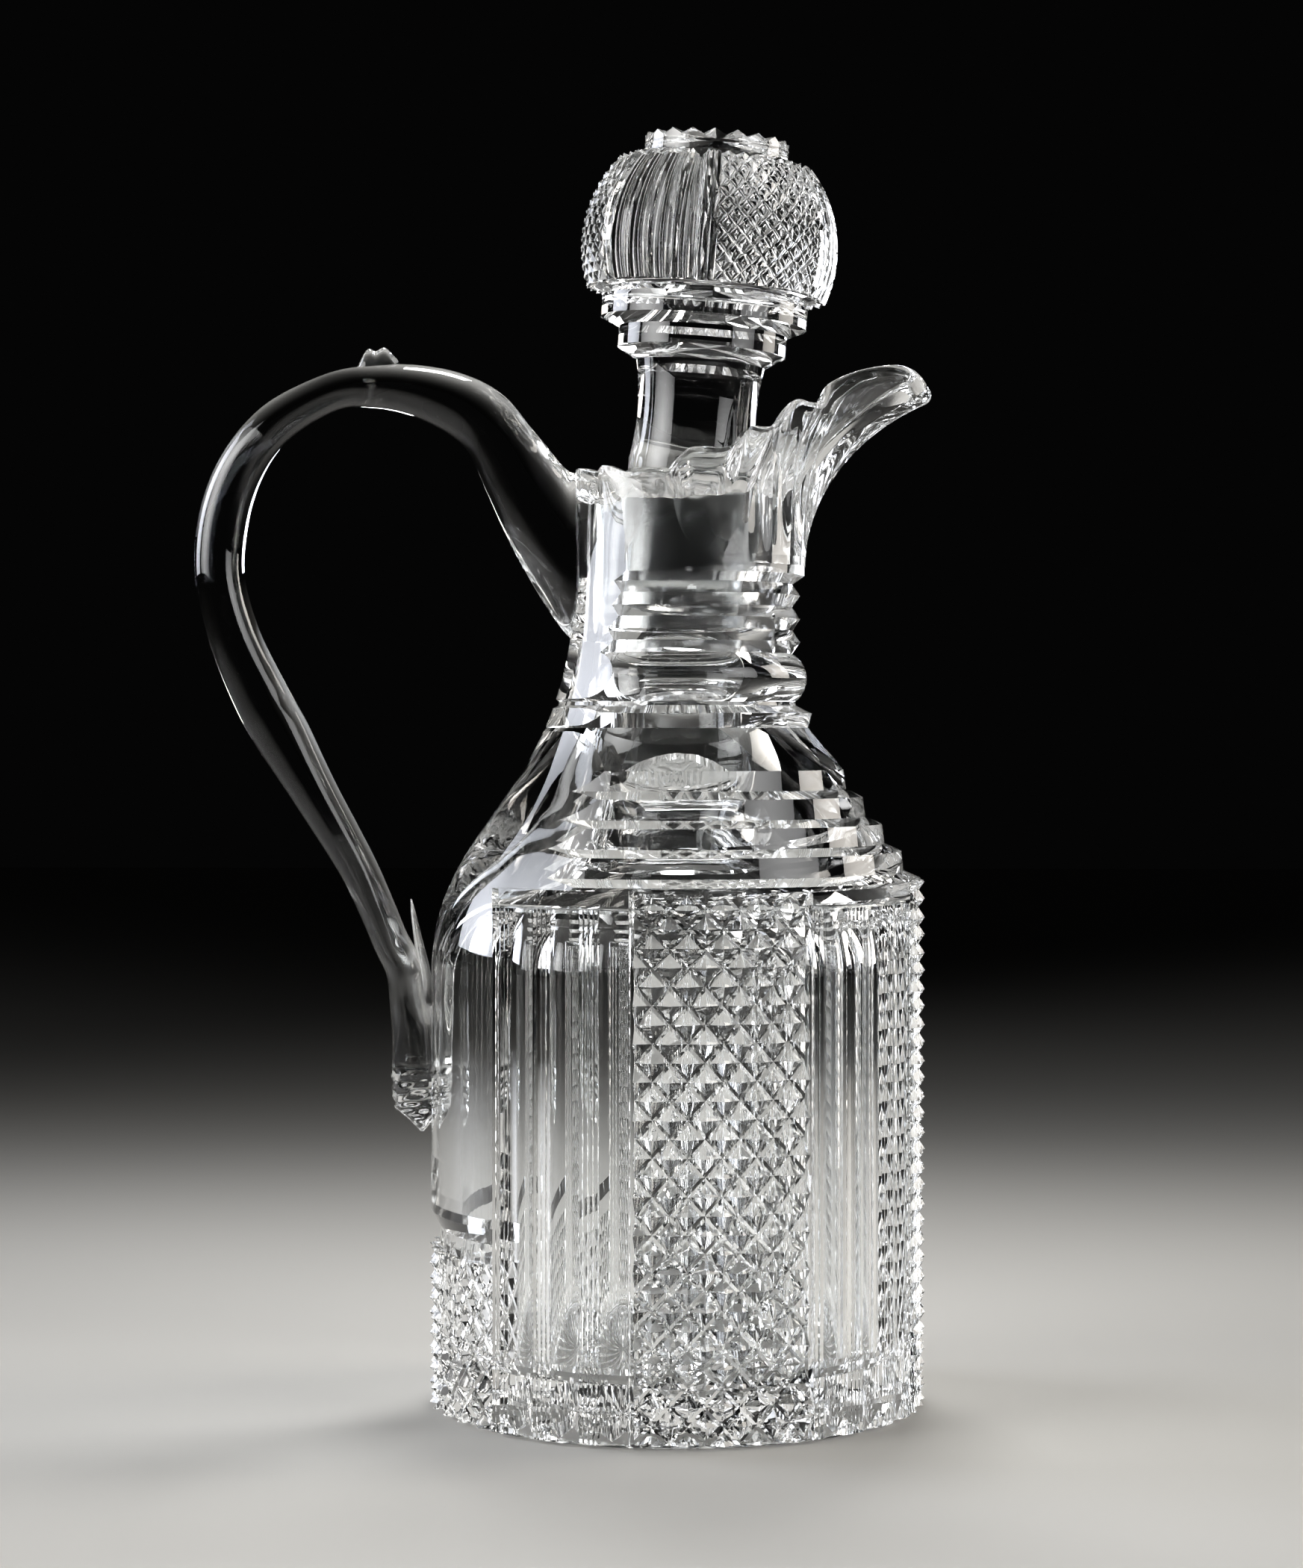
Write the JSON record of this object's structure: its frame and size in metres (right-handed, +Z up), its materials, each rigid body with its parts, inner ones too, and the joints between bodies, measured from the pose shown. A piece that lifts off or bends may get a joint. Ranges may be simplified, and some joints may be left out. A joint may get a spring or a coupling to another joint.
{
  "type": "claret jug",
  "caption": "Cut crystal claret jug with a pinched spout, an applied loop handle and a ground ball stopper that lifts out.",
  "frame": {"origin": "middle of the flat base, on the body's axis, on the table", "axes": "+Z up the body's axis, +X towards the spout, -X towards the handle"},
  "size_m": [0.17, 0.1134, 0.2902],
  "materials": {
    "lead_crystal": "clear lead crystal, wheel-cut and acid-polished",
    "handle_crystal": "clear lead crystal, drawn hot and fire-polished",
    "stopper_crystal": "clear lead crystal, wheel-cut and polished, with a ground plug"
  },
  "bodies": {
    "jug": {"jug_body": "lead_crystal", "handle": "handle_crystal"},
    "stopper": {"stopper": "stopper_crystal"}
  },
  "joints": [
    {"name": "stopper_lift", "type": "slide", "parent": "jug", "child": "stopper", "axis": [0.075, 0, 0.9972], "range_m": [0, 0.066]}
  ]
}
